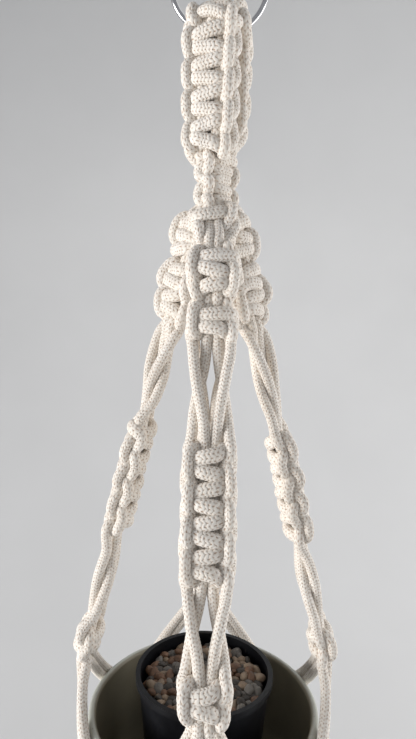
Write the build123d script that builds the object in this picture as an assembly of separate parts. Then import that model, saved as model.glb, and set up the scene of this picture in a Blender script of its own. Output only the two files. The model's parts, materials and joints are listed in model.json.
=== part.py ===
"""Hanging macrame planter: a steel ring, a knotted cotton hanger of sixteen cord ends, and two pots.

Millimetres, +Z up. The origin is the inside top of the ring, where the hook carries it. The front arm
is on -Y. The arms lean out from the crown to the pots, and heights on them are plain heights, along Z.
"""

from build123d import *

import os
from math import atan, atan2, cos, degrees, hypot, pi, radians, sin, sqrt, tan

# Cord: 6 mm braided cotton. A square knot is three cords thick, front bar, fillers and back bar.
CORD = 6.0
KNOT_THICK = 19.0
KNOT_ROUNDING = 5.0

# Ring
RING_WIRE = 3.2
RING_INNER_R = 27.0
RING_WIRE_R = RING_INNER_R + RING_WIRE / 2
RING_CENTRE_Z = -RING_INNER_R
SWING_AXIS_Z = RING_CENTRE_Z - RING_WIRE_R
RING_CLEARANCE = 0.6

# Loop folded over the ring, and the neck that ties its two legs together
LOOP_TOP_Z = -36.0
LOOP_BOTTOM_Z = -124.5
LOOP_WIDTH = 34.0
LOOP_LEG_GAP = 1.0
NECK_SIZE = 25.0
NECK_BOTTOM_Z = -162.5

# Crown: each arm starts with two knots. The side arms' knots sit higher and half turn to the front.
# Each knot: its top and bottom height, its distance from the axis, its width, and its turn to the front.
FACE_KNOTS = [
    dict(top=-189.5, bottom=-208.5, radius=28.0, width=28.0, twist=0),
    dict(top=-216.0, bottom=-232.0, radius=28.0, width=28.0, twist=0),
]
SIDE_KNOTS = [
    dict(top=-164.0, bottom=-189.0, radius=14.5, width=26.0, twist=45),
    dict(top=-194.0, bottom=-230.0, radius=19.5, width=28.0, twist=45),
]
CROWN_CORE_TOP_R = 11.0
CROWN_CORE_BOTTOM_R = 19.0

# Arms: straight lines from the crown, out and down to the net
ARM_TOP_R = 28.0
ARM_TOP_Z = -232.0
ARM_END_Z = -435.0
ARM_END_R = 76.5
# Heights of each arm's sennit and basket knot, top and bottom, uneven as the hand that tied them
ARM_LEVELS = {
    "front": dict(sennit_top=-297.5, sennit_bottom=-362.5, basket_top=-415.5, basket_bottom=-430.5),
    "right": dict(sennit_top=-298.0, sennit_bottom=-359.0, basket_top=-425.0, basket_bottom=-440.0),
    "back": dict(sennit_top=-296.0, sennit_bottom=-361.0, basket_top=-420.0, basket_bottom=-435.0),
    "left": dict(sennit_top=-291.0, sennit_bottom=-356.0, basket_top=-426.0, basket_bottom=-441.0),
}
ARM_SENNIT_WIDTH = 31.0
BASKET_KNOT_WIDTH = 30.0
ARM_SLOPE = (ARM_END_R - ARM_TOP_R) / (ARM_TOP_Z - ARM_END_Z)
ARM_LEAN = degrees(atan(ARM_SLOPE))
CORD_PITCH = 7.4

# Outer pot: a round-bottomed ceramic cylinder
POT_R = 75.0
POT_WALL = 5.0
POT_RIM_Z = -476.0
POT_HEIGHT = 95.0
POT_BOTTOM_ROUND = 40.0
POT_BASE_Z = POT_RIM_Z - POT_HEIGHT
POT_INNER_FLOOR_Z = POT_BASE_Z + 6.0

# Inner pot: a 90 mm nursery pot that stands on the outer pot's floor
LINER_RIM_R = 45.0
LINER_BASE_R = 33.0
LINER_RIM_Z = -454.5
LINER_WALL = 1.5
LINER_LIP = 4.0
LINER_LIP_OVERHANG = 1.6
LINER_LIP_STEP = 0.5
LINER_BASE_Z = POT_INNER_FLOOR_Z + 0.4
LINER_FLOOR = 2.0
DRAIN_HOLE_R = 4.0
DRAIN_HOLE_RING_R = 18.0
DRAIN_HOLES = 5
SOIL_TOP_Z = -478.0
PEBBLE_TOP_Z = -459.0
FILL_CLEARANCE = 0.2

# Net under the arms: each arm's cords part to join their neighbours' at four knots, then meet below
NET_R = POT_R + CORD / 2 + 0.6
NET_STAND_OFF = 3.2
# Along a net cord: its share of the way round to the join knot, how far off the net's radius, and its height
NET_STATIONS = [(0.16, 0.0, -457.0), (0.46, 0.5, -475.0), (0.76, 0.7, -491.0)]
JOIN_KNOT_TOP_Z = -508.0
JOIN_KNOT_BOTTOM_Z = -524.0
JOIN_KNOT_WIDTH = 30.0
JOIN_KNOT_R = POT_R + 0.4 + KNOT_THICK / 2
GATHER_TOP_Z = -579.0
GATHER_TOP_R = 30.0
GATHER_SHOULDER = 6.0
GATHER_BAND = 8.0
# Along an under cord: how much the four draw together, how far inside the net's radius, and the height
UNDER_STATIONS = [(1.0, -0.8, -541.0), (0.95, 9.0, -561.0), (0.88, 29.0, -577.5)]
UNDER_END_Z = -584.0
WRAP_R = 16.0
WRAP_TOP_Z = -598.0
TASSEL_AXIS_Z = -622.0

# Tassel: sixteen cut cord ends in two circles, clear of the round underside of the wrap
INNER_STRANDS = 5
OUTER_STRANDS = 11
INNER_STRAND_R = 5.3
OUTER_STRAND_R = 12.0
TASSEL_CLEARANCE = 0.5
# Each route: how far out, how far to the side, and how far down, from where the strand leaves the wrap
OUTER_ROUTES = [
    [(0, 0, 0), (0.6, 0.2, 22), (3.2, -0.3, 58), (5.0, 0.9, 98), (6.4, 0.2, 134), (6.2, 0.6, 160)],
    [(0, 0, 0), (0.9, -0.2, 26), (3.6, 0.5, 62), (6.6, -0.4, 100), (7.2, 0.5, 132), (7.9, 0.3, 156)],
    [(0, 0, 0), (0.4, 0.1, 24), (2.2, -0.6, 60), (4.6, 0.3, 96), (5.0, -0.8, 136), (5.9, -0.9, 162)],
    [(0, 0, 0), (1.0, 0.3, 24), (4.2, 0.1, 56), (5.8, -0.8, 94), (7.6, -0.2, 130), (7.4, -0.7, 158)],
]
INNER_ROUTES = [
    [(0, 0, 0), (0.2, 0.1, 24), (1.0, -0.3, 60), (1.6, 0.3, 98), (2.4, -0.2, 134), (2.3, 0.1, 160)],
    [(0, 0, 0), (0.3, -0.1, 26), (1.2, 0.3, 62), (1.3, -0.2, 100), (2.0, 0.4, 132), (2.6, 0.3, 157)],
]

ARMS = {"front": 0, "right": 90, "back": 180, "left": 270}
CORNERS = {"front_right": 45, "back_right": 135, "back_left": 225, "front_left": 315}


def save(shape, node):
    export_step(shape, f"parts/{node}.step")


def knot_block(width, thick, height, rounding=KNOT_ROUNDING):
    block = Box(width, thick, height)
    return fillet(block.edges(), rounding)


def arm_r(z):
    """Distance of an arm's centre line from the vertical axis at height z."""
    return ARM_TOP_R + ARM_SLOPE * (ARM_TOP_Z - z)


def on_arm(turn, z):
    """Place of a piece centred on an arm: its Z runs up the arm and its -Y faces out."""
    return Rot(0, 0, turn) * Pos(0, -arm_r(z), z) * Rot(-ARM_LEAN, 0, 0)


def corner_radii(points):
    """The largest fillet at each corner that leaves a little of both runs straight."""
    radii = []
    for before, here, after in zip(points, points[1:], points[2:]):
        run_in = here - before
        run_out = after - here
        half_turn = radians(run_in.get_angle(run_out)) / 2
        radii.append(0.45 * min(run_in.length, run_out.length) / tan(half_turn))
    return radii


def cord_tube(points, diameter=CORD):
    """A round cord along straight runs joined by tangent arcs."""
    points = [Vector(*p) for p in points]
    path = FilletPolyline(*points, radius=corner_radii(points))
    section = Plane(origin=points[0], z_dir=points[1] - points[0]) * Circle(diameter / 2)
    return sweep(section, path=path)


def at_angle(radius, angle, z):
    """A point at a distance and an angle in degrees from the front, turning towards the right."""
    return (radius * sin(radians(angle)), -radius * cos(radians(angle)), z)


def hanging_ring():
    return Pos(0, 0, RING_CENTRE_Z) * Rot(90, 0, 0) * Torus(RING_WIRE_R, RING_WIRE / 2)


def loop_parts():
    """A flat knotted strap folded over the ring: the fold, and the leg that hangs on each side."""
    half_depth = LOOP_TOP_Z - SWING_AXIS_Z
    leg_height = SWING_AXIS_Z - LOOP_BOTTOM_Z
    leg_thick = half_depth - LOOP_LEG_GAP / 2
    cylinder = Rot(0, 90, 0) * Cylinder(half_depth, LOOP_WIDTH)
    upper_half = Pos(0, 0, half_depth / 2) * Box(2 * LOOP_WIDTH, 3 * half_depth, half_depth)
    leg = Box(LOOP_WIDTH, leg_thick, leg_height)
    leg_offset = (half_depth + LOOP_LEG_GAP / 2) / 2
    parts = {"loop_fold": cylinder & upper_half}
    for name, side in (("loop_front_leg", -1), ("loop_back_leg", 1)):
        parts[name] = Pos(0, side * leg_offset, -leg_height / 2) * leg
    return {name: Pos(0, 0, SWING_AXIS_Z) * (part - wire_tunnel()) for name, part in parts.items()}


def wire_tunnel():
    """A tunnel that flares from the middle, so the strap swings clear of the wire as it curves up."""
    half_width = LOOP_WIDTH / 2
    rise = RING_WIRE_R - sqrt(RING_WIRE_R**2 - half_width**2)
    narrow = RING_WIRE / 2 + RING_CLEARANCE
    wide = narrow + rise + RING_CLEARANCE
    to_right = Rot(0, 90, 0) * Pos(0, 0, half_width / 2) * Cone(narrow, wide, half_width)
    return to_right + mirror(to_right, Plane.YZ)


def neck_sennit():
    height = LOOP_BOTTOM_Z - NECK_BOTTOM_Z
    block = knot_block(NECK_SIZE, NECK_SIZE, height)
    return Pos(0, 0, NECK_BOTTOM_Z + height / 2) * Rot(0, 0, 45) * block


def crown_knots(arm):
    """The two knots an arm starts with, at its side of the crown."""
    turn = ARMS[arm]
    specs = FACE_KNOTS if arm in ("front", "back") else SIDE_KNOTS
    to_front = 1 if arm == "left" else -1
    knots = []
    for spec in specs:
        height = spec["top"] - spec["bottom"]
        block = knot_block(spec["width"], KNOT_THICK, height)
        place = Rot(0, 0, turn) * Pos(0, -spec["radius"], spec["bottom"] + height / 2)
        knots.append(place * Rot(0, 0, to_front * spec["twist"]) * block)
    return knots


def crown_core(knots):
    """The bundle of cords that the crown's knots stand round."""
    height = NECK_BOTTOM_Z - ARM_TOP_Z
    core = Pos(0, 0, ARM_TOP_Z + height / 2) * Cone(CROWN_CORE_BOTTOM_R, CROWN_CORE_TOP_R, height)
    for knot in knots:
        core = core - knot
    return core.solids().sort_by(SortBy.VOLUME)[-1]


def pair_twist(side, height):
    """Two neighbouring cords that change places in half a turn, the outer one passing in front."""
    centre = side * CORD_PITCH
    steps = 4
    outer = []
    inner = []
    for i in range(steps + 1):
        across = side * CORD_PITCH / 2 * cos(pi * i / steps)
        forward = CORD_PITCH / 2 * sin(pi * i / steps)
        z = height / 2 - height * i / steps
        outer.append((centre + across, -forward, z))
        inner.append((centre - across, forward, z))
    return [cord_tube(outer), cord_tube(inner)]


def twisted_cords(turn, top_z, bottom_z):
    """Four cords down an arm: the outer two cross in front to the middle, the inner two go out behind."""
    height = (top_z - bottom_z) / cos(radians(ARM_LEAN))
    place = on_arm(turn, (top_z + bottom_z) / 2)
    cords = pair_twist(-1, height) + pair_twist(1, height)
    return Compound([place * cord for cord in cords])


def arm_block(turn, top_z, bottom_z, width):
    height = (top_z - bottom_z) / cos(radians(ARM_LEAN))
    return on_arm(turn, (top_z + bottom_z) / 2) * knot_block(width, KNOT_THICK, height)


def net_cords(turn, top_z):
    """Two cords each way from a basket knot, round the pot's side to the join knots at 45 degrees."""
    quarter = NET_R * pi / 4
    cords = []
    for side in (-1, 1):
        for place in (0.5, 1.5):
            start = side * place * CORD_PITCH
            end = side * (quarter - (2 - place) * CORD_PITCH)
            stations = [(start, arm_r(top_z), top_z)]
            stations += [(start + (end - start) * share, NET_R + out, z) for share, out, z in NET_STATIONS]
            stations.append((end, NET_R + NET_STAND_OFF, JOIN_KNOT_TOP_Z))
            points = [at_angle(r, turn + degrees(across / NET_R), z) for across, r, z in stations]
            cords.append(cord_tube(points))
    return Compound(cords)


def join_knot(turn):
    height = JOIN_KNOT_TOP_Z - JOIN_KNOT_BOTTOM_Z
    block = knot_block(JOIN_KNOT_WIDTH, KNOT_THICK, height)
    return Rot(0, 0, turn) * Pos(0, -JOIN_KNOT_R, JOIN_KNOT_BOTTOM_Z + height / 2) * block


def under_cords(turn):
    """Four cords from a join knot, down the pot's side and in beneath it to the gathering."""
    cords = []
    for place in (-1.5, -0.5, 0.5, 1.5):
        across = place * CORD_PITCH
        points = [(across, -(NET_R + NET_STAND_OFF), JOIN_KNOT_BOTTOM_Z)]
        points += [(across * narrowing, -(NET_R - inward), z) for narrowing, inward, z in UNDER_STATIONS]
        points.append((across * UNDER_STATIONS[-1][0], -GATHER_TOP_R, UNDER_END_Z))
        cords.append(Rot(0, 0, turn) * cord_tube(points))
    return Compound(cords)


def gathering_wrap():
    """All sixteen cords drawn together and bound, with a round underside the tassel swings on."""
    with BuildPart() as part:
        with BuildSketch(Plane.XZ):
            with BuildLine():
                Polyline(
                    (0, TASSEL_AXIS_Z - WRAP_R),
                    (0, GATHER_TOP_Z),
                    (GATHER_TOP_R - GATHER_SHOULDER, GATHER_TOP_Z),
                    (GATHER_TOP_R, GATHER_TOP_Z - GATHER_SHOULDER / 2),
                    (GATHER_TOP_R, GATHER_TOP_Z - GATHER_BAND),
                    (WRAP_R, WRAP_TOP_Z),
                    (WRAP_R, TASSEL_AXIS_Z),
                )
                CenterArc((0, TASSEL_AXIS_Z), WRAP_R, -90, 90)
            make_face()
        revolve(axis=Axis.Z)
    return part.part


def strand_points(ring_r, angle, route):
    """A hanging strand: its route turned to its angle, from just under the wrap's round underside."""
    sphere = WRAP_R + TASSEL_CLEARANCE
    top = TASSEL_AXIS_Z - sqrt(sphere**2 - (ring_r - CORD / 2) ** 2)
    points = []
    for out, across, down in route:
        r = ring_r + out
        points.append(at_angle(hypot(r, across), angle + degrees(atan2(across, r)), top - down))
    return points


def tassel_strands():
    strands = []
    for i in range(OUTER_STRANDS):
        route = OUTER_ROUTES[i % len(OUTER_ROUTES)]
        strands.append(strand_points(OUTER_STRAND_R, 360 * i / OUTER_STRANDS, route))
    for i in range(INNER_STRANDS):
        route = INNER_ROUTES[i % len(INNER_ROUTES)]
        strands.append(strand_points(INNER_STRAND_R, 360 * i / INNER_STRANDS, route))
    return strands


def revolved(corners):
    """A solid of revolution about Z from its half section."""
    with BuildPart() as part:
        with BuildSketch(Plane.XZ):
            with BuildLine():
                Polyline(*corners, close=True)
            make_face()
        revolve(axis=Axis.Z)
    return part.part


def cachepot():
    corner_z = POT_BASE_Z + POT_BOTTOM_ROUND
    inner_round = POT_BOTTOM_ROUND - POT_WALL
    inner_corner_z = POT_INNER_FLOOR_Z + inner_round
    with BuildPart() as part:
        with BuildSketch(Plane.XZ):
            with BuildLine():
                Line((0, POT_BASE_Z), (POT_R - POT_BOTTOM_ROUND, POT_BASE_Z))
                CenterArc((POT_R - POT_BOTTOM_ROUND, corner_z), POT_BOTTOM_ROUND, -90, 90)
                Line((POT_R, corner_z), (POT_R, POT_RIM_Z - POT_WALL / 2))
                CenterArc((POT_R - POT_WALL / 2, POT_RIM_Z - POT_WALL / 2), POT_WALL / 2, 0, 180)
                Line((POT_R - POT_WALL, POT_RIM_Z - POT_WALL / 2), (POT_R - POT_WALL, inner_corner_z))
                CenterArc((POT_R - POT_WALL - inner_round, inner_corner_z), inner_round, 0, -90)
                Line((POT_R - POT_WALL - inner_round, POT_INNER_FLOOR_Z), (0, POT_INNER_FLOOR_Z))
                Line((0, POT_INNER_FLOOR_Z), (0, POT_BASE_Z))
            make_face()
        revolve(axis=Axis.Z)
    return part.part


def liner_inner_r(z):
    """Inside radius of the inner pot at height z."""
    share = (z - LINER_BASE_Z) / (LINER_RIM_Z - LINER_BASE_Z)
    outer = LINER_BASE_R + (LINER_RIM_R - LINER_LIP_OVERHANG - LINER_BASE_R) * share
    return outer - LINER_WALL


def liner_pot():
    """A tapered nursery pot with a turned-out lip and drain holes."""
    body_top_r = LINER_RIM_R - LINER_LIP_OVERHANG
    floor_z = LINER_BASE_Z + LINER_FLOOR
    pot = revolved(
        [
            (0, LINER_BASE_Z),
            (LINER_BASE_R, LINER_BASE_Z),
            (body_top_r - LINER_LIP_STEP, LINER_RIM_Z - LINER_LIP),
            (LINER_RIM_R, LINER_RIM_Z - LINER_LIP),
            (LINER_RIM_R, LINER_RIM_Z),
            (liner_inner_r(LINER_RIM_Z), LINER_RIM_Z),
            (liner_inner_r(floor_z), floor_z),
            (0, floor_z),
        ]
    )
    for i in range(DRAIN_HOLES):
        x, y, _ = at_angle(DRAIN_HOLE_RING_R, 360 * i / DRAIN_HOLES, 0)
        pot = pot - Pos(x, y, LINER_BASE_Z + LINER_FLOOR / 2) * Cylinder(DRAIN_HOLE_R, LINER_FLOOR * 3)
    return pot


def liner_fill(bottom_z, top_z):
    """A plug that fills the inner pot between two heights."""
    bottom_r = liner_inner_r(bottom_z) - FILL_CLEARANCE
    top_r = liner_inner_r(top_z) - FILL_CLEARANCE
    return revolved([(0, bottom_z), (bottom_r, bottom_z), (top_r, top_z), (0, top_z)])


def main():
    os.makedirs("parts", exist_ok=True)
    save(hanging_ring(), "hanging_ring")
    for node, part in loop_parts().items():
        save(part, node)
    save(neck_sennit(), "neck_sennit")
    crown = {arm: crown_knots(arm) for arm in ARMS}
    for arm, knots in crown.items():
        save(Compound(knots), f"crown_knots_{arm}")
    save(crown_core([knot for knots in crown.values() for knot in knots]), "crown_core")
    for arm, turn in ARMS.items():
        levels = ARM_LEVELS[arm]
        save(twisted_cords(turn, ARM_TOP_Z, levels["sennit_top"]), f"arm_cords_{arm}")
        sennit = arm_block(turn, levels["sennit_top"], levels["sennit_bottom"], ARM_SENNIT_WIDTH)
        save(sennit, f"arm_sennit_{arm}")
        save(twisted_cords(turn, levels["sennit_bottom"], levels["basket_top"]), f"swap_cords_{arm}")
        knot = arm_block(turn, levels["basket_top"], levels["basket_bottom"], BASKET_KNOT_WIDTH)
        save(knot, f"basket_knot_{arm}")
        save(net_cords(turn, levels["basket_bottom"]), f"net_cords_{arm}")
    for corner, turn in CORNERS.items():
        save(join_knot(turn), f"join_knot_{corner}")
        save(under_cords(turn), f"under_cords_{corner}")
    save(gathering_wrap(), "gathering_wrap")
    for number, points in enumerate(tassel_strands(), start=1):
        tube = cord_tube(points)
        radii = corner_radii([Vector(*p) for p in points])
        length = tube.volume / (pi * (CORD / 2) ** 2)
        print(f"strand {number}: length {length:.0f}, bends", [round(r) for r in radii])
        save(tube, f"tassel_strand_{number:02d}")
    save(cachepot(), "cachepot")
    save(liner_pot(), "liner_pot")
    save(liner_fill(LINER_BASE_Z + LINER_FLOOR + FILL_CLEARANCE, SOIL_TOP_Z), "soil_plug")
    save(liner_fill(SOIL_TOP_Z, PEBBLE_TOP_Z), "pebbles")


main()
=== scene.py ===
"""Looks of the hanging macrame planter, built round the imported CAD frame.

The hanger is knotted here from real cord paths. Each strap is laid out in straight strap coordinates
(across, out, along), bent onto its place in the hanger, and then pulled tight, so that the cords rest
on each other as cotton does. Cord layout is in millimetres; meshes are in metres.
"""

import json
import math

import bmesh
import bpy
import numpy as np
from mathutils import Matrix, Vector


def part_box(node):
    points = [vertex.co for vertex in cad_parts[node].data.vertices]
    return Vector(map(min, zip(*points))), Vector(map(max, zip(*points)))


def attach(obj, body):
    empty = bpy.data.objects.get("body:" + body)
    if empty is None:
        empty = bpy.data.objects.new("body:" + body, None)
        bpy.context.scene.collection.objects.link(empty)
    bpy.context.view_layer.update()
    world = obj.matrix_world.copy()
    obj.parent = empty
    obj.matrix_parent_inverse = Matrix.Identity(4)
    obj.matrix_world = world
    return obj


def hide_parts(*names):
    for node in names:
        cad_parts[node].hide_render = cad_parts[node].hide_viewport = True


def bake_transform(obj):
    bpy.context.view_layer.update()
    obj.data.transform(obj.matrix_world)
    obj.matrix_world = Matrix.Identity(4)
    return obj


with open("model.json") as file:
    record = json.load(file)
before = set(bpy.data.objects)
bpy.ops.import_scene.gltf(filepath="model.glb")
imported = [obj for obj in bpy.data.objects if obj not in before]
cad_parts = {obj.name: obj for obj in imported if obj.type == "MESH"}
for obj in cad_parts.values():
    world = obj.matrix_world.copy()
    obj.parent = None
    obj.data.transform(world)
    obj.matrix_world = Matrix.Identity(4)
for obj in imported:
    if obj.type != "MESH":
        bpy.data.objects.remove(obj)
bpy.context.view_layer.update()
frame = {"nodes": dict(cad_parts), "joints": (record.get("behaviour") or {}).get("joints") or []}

MM = 0.001
CORD = 6.4                 # a 6 mm cord measures a little more over its stitches
SAMPLE = CORD / 3          # spacing of the points that are pulled tight
RING_STEP = 0.64     # spacing of a tube's rings
AROUND = 48           # corners round a tube
STITCHES_AROUND = 12
STITCH_LENGTH = 2.2
STITCH_SLANT = 0.5
STITCH_RELIEF = 0.34
HAND = 0.28                # how far hand work strays from the layout
rng = np.random.default_rng(7)


# ---------------------------------------------------------------- camera

def make_camera():
    """The viewing place: level with the arms' tops, close in, tilted a little down."""
    data = bpy.data.cameras.new("camera")
    data.sensor_width = 36
    data.lens = 26.45
    data.clip_start = 0.01
    camera = bpy.data.objects.new("camera", data)
    bpy.context.scene.collection.objects.link(camera)
    camera.location = (-0.0019, -0.340, -0.226)
    camera.rotation_euler = (math.radians(90 - 5), 0, 0)
    camera.rotation_euler.rotate_axis("Z", math.radians(1.25))
    bpy.context.scene.camera = camera


# ---------------------------------------------------------------- places read from the frame

def node_middle(node):
    """The middle of a node's box, in millimetres."""
    low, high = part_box(node)
    return np.array((low + high) / 2) / MM


def node_span(node):
    """A node's lowest and highest z, in millimetres."""
    low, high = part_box(node)
    return low.z / MM, high.z / MM


JOINTS = {joint["name"]: joint for joint in frame["joints"]}
SWING_Z = JOINTS["hanger_swing"]["pos_m"][2] / MM
TASSEL_Z = JOINTS["tassel_swing"]["pos_m"][2] / MM
FOLD_TOP_Z = node_span("loop_fold")[1]
LOOP_BOTTOM_Z, _ = node_span("loop_front_leg")
NECK_BOTTOM_Z, NECK_TOP_Z = node_span("neck_sennit")
POT_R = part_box("cachepot")[1].x / MM
POT_BASE_Z, POT_RIM_Z = node_span("cachepot")
ARM_MIDDLE = node_middle("arm_sennit_front")
BASKET_MIDDLE = node_middle("basket_knot_front")
ARM_SLOPE = (BASKET_MIDDLE[1] - ARM_MIDDLE[1]) / (BASKET_MIDDLE[2] - ARM_MIDDLE[2])
JOIN_MIDDLE = node_middle("join_knot_front_right")
JOIN_R = math.hypot(JOIN_MIDDLE[0], JOIN_MIDDLE[1])
TURNS = {"front": 0, "right": 90, "back": 180, "left": 270}
CORNERS = ["front_right", "back_right", "back_left", "front_left"]


def arm_radius(z):
    """Distance of the arms' centre lines from the axis at height z."""
    return -(ARM_MIDDLE[1] + (z - ARM_MIDDLE[2]) * ARM_SLOPE)


# ---------------------------------------------------------------- cord paths

SOFT, FIRM = 0.035, 0.14   # how well a point keeps its place while the cords are pulled tight


class Cord:
    """One cord: control points in world millimetres, each with its piece and how knots press it.

    A press is a vector along which the cord's section is widened, by its length squared. hold says how
    well the point keeps its place while the cords are pulled tight.
    """

    def __init__(self):
        self.points = []
        self.marks = []

    def add(self, point, piece, press=(0, 0, 0), hold=SOFT):
        self.points.append(np.asarray(point, float))
        self.marks.append((piece, tuple(press), hold))


def half_knots(count, pitch, start, filler, depth):
    """Square-knot cords in strap coordinates: front-bar cord and back-bar cord, from the left and right.

    The front-bar cord crosses in front of the fillers, and the back-bar cord behind them. At each side
    the back-bar cord comes forward in a loop over two bar ends, and the front-bar cord goes back.
    filler and depth are half the width and half the thickness of the filler cords.
    """
    clasp = 0.3 * pitch
    wide = filler + 0.62 * CORD
    inner = filler + 0.30 * CORD
    front = []
    back = []
    for k in range(count):
        way = 1 if k % 2 == 0 else -1
        s = start + (k + 0.5) * pitch
        front += [
            (-way * wide, depth - 0.2 * CORD, s + clasp),
            (-way * filler, depth + 0.48 * CORD, s + 0.4 * clasp),
            (0, depth + 0.52 * CORD, s),
            (way * filler, depth + 0.48 * CORD, s - 0.4 * clasp),
            (way * wide, depth - 0.2 * CORD, s - clasp),
        ]
        back += [
            (way * inner, -0.12 * CORD, s + clasp),
            (way * 0.9 * filler, -depth - 0.48 * CORD, s + 0.6 * clasp),
            (0, -depth - 0.60 * CORD, s),
            (-way * 0.9 * filler, -depth - 0.48 * CORD, s - 0.6 * clasp),
            (-way * inner, -0.12 * CORD, s - clasp),
        ]
        if k < count - 1:
            front.append((way * (filler + 1.0 * CORD), -depth - 0.1 * CORD, s + 0.5 * pitch))
            back.append((-way * (filler + 0.85 * CORD), depth + 0.6 * CORD, s + 0.5 * pitch))
    return front, back


def strap_place(centre, across, width=lambda s: 1.0):
    """Maps strap coordinates to the world along a centre line.

    across(s) is the strap's width direction, and width(s) scales its section.
    """
    def place(u, w, s):
        ahead = centre(s + 1.0) - centre(s - 1.0)
        ahead /= np.linalg.norm(ahead)
        side = across(s) - ahead * np.dot(across(s), ahead)
        side /= np.linalg.norm(side)
        return centre(s) + width(s) * (u * side + w * np.cross(ahead, side))
    return place


class Strap:
    """Cords worked down a strap, held from left to right: a worker, the fillers, and a worker."""

    def __init__(self, cords, place, start, fillers=((-0.5, 0), (0.5, 0)), filler=1.0, depth=0.5, widen=0.32,
                 hold=SOFT):
        self.slots = list(cords)
        self.hold = hold
        self.widen = math.sqrt(widen)
        self.place = place
        self.s = start
        self.fillers = fillers
        self.filler = filler * CORD
        self.depth = depth * CORD

    def put(self, slot, u, w, s, piece, pressed=False, hold=None):
        press = (self.place(0, 0, s + 0.5) - self.place(0, 0, s - 0.5)) * self.widen if pressed else (0, 0, 0)
        slip = rng.normal(0, HAND, 3)
        self.slots[slot].add(self.place(u, w, s) + slip, piece, press, hold or self.hold)

    def row(self, s, piece, worker, gather, lift, hold):
        """One point of every cord at s: the workers at worker, the fillers gathered and lifted."""
        u, w = worker
        last = len(self.slots) - 1
        self.put(0, -u * CORD, w * CORD, s, piece, hold=hold)
        self.put(last, u * CORD, w * CORD, s, piece, hold=hold)
        for slot, (u, w) in enumerate(self.fillers, 1):
            self.put(slot, gather * u * CORD, (gather * w + lift) * CORD, s, piece, hold=hold)
        self.s = s

    def straight(self, s, piece, gather=1.0, hold=None):
        """One point of every cord at s, side by side, drawn together by gather."""
        self.row(s, piece, (1.6 * gather, 0), gather, 0, hold)

    def pinch(self, s, piece):
        """One point of every cord at s, drawn into a round bundle with the workers behind."""
        self.row(s, piece, (1.0, -0.35), 0.9, 0.3, FIRM)

    def swap(self, end, piece):
        """The outer cords cross in front to the middle, and the inner ones go out behind them."""
        length = end - self.s
        for t in (0.14, 0.32, 0.5, 0.68, 0.86):
            for side, outer, inner in ((-1, 0, 1), (1, 3, 2)):
                middle = side * 1.06 * CORD
                half = side * 0.54 * CORD * math.cos(math.pi * t)
                lift = 0.54 * CORD * math.sin(math.pi * t)
                self.put(outer, middle + half, lift, self.s + length * t, piece)
                self.put(inner, middle - half, -lift, self.s + length * t, piece)
        self.slots = [self.slots[1], self.slots[0], self.slots[3], self.slots[2]]
        self.s = end

    def knots(self, count, pitch, piece, first=1):
        """Square knots: count half knots, one pitch apart. piece is a name, or a function of s.

        first is 1 when the first bar runs to the right, and -1 when it runs to the left.
        """
        name = piece if callable(piece) else (lambda s: piece)
        front, back = half_knots(count, pitch, self.s, self.filler, self.depth)
        lead = 0.35 * pitch
        bottom = self.s + count * pitch
        front.insert(0, (-self.filler - 0.6 * CORD, -0.35 * CORD, self.s - lead))
        back.insert(0, (self.filler + 0.62 * CORD, 0.75 * CORD, self.s - lead))
        way = 1 if count % 2 == 1 else -1
        front.append((way * (self.filler + 0.6 * CORD), -0.35 * CORD, bottom + lead))
        back.append((-way * (self.filler + 0.62 * CORD), 0.75 * CORD, bottom + lead))
        last = len(self.slots) - 1
        front_slot, back_slot = (0, last) if first == 1 else (last, 0)
        for u, w, s in front:
            self.put(front_slot, first * u, w, s, name(s), True)
        for u, w, s in back:
            self.put(back_slot, first * u, w, s, name(s), True)
        for slot, (u, w) in enumerate(self.fillers, 1):
            for i in range(count + 1):
                s = self.s + pitch * i
                self.put(slot, u * CORD, w * CORD, s, name(s))
        if way == 1:
            self.slots[0], self.slots[last] = self.slots[last], self.slots[0]
        self.s = bottom


# ---------------------------------------------------------------- sampling and pulling tight

TINY = 1e-6                # keeps a length of zero out of a division


def smooth_line(points, values, step):
    """A centripetal Catmull-Rom line through points, resampled every step. values ride along."""
    points = np.asarray(points, float)
    ends = np.vstack([2 * points[0] - points[1], points, 2 * points[-1] - points[-2]])
    knots = np.concatenate([[0], np.cumsum(np.sqrt(np.linalg.norm(np.diff(ends, axis=0), axis=1)) + 1e-9)])
    fine = []
    owners = []
    for i in range(1, len(ends) - 2):
        p0, p1, p2, p3 = ends[i - 1:i + 3]
        t0, t1, t2, t3 = knots[i - 1:i + 3]
        count = max(2, int(np.linalg.norm(p2 - p1) / (0.35 * step)))
        t = np.linspace(t1, t2, count, endpoint=False)[:, None]
        a1 = (t1 - t) / (t1 - t0) * p0 + (t - t0) / (t1 - t0) * p1
        a2 = (t2 - t) / (t2 - t1) * p1 + (t - t1) / (t2 - t1) * p2
        a3 = (t3 - t) / (t3 - t2) * p2 + (t - t2) / (t3 - t2) * p3
        b1 = (t2 - t) / (t2 - t0) * a1 + (t - t0) / (t2 - t0) * a2
        b2 = (t3 - t) / (t3 - t1) * a2 + (t - t1) / (t3 - t1) * a3
        fine.append((t2 - t) / (t2 - t1) * b1 + (t - t1) / (t2 - t1) * b2)
        owners += [values[i - 1]] * count
    fine = np.vstack(fine + [points[-1:]])
    owners.append(values[-1])
    along = np.concatenate([[0], np.cumsum(np.linalg.norm(np.diff(fine, axis=0), axis=1))])
    count = max(2, round(along[-1] / step)) + 1
    at = np.linspace(0, along[-1], count)
    line = np.stack([np.interp(at, along, fine[:, axis]) for axis in range(3)], 1)
    picked = [owners[i] for i in np.minimum(np.searchsorted(along, at), len(owners) - 1)]
    return line, picked


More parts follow.
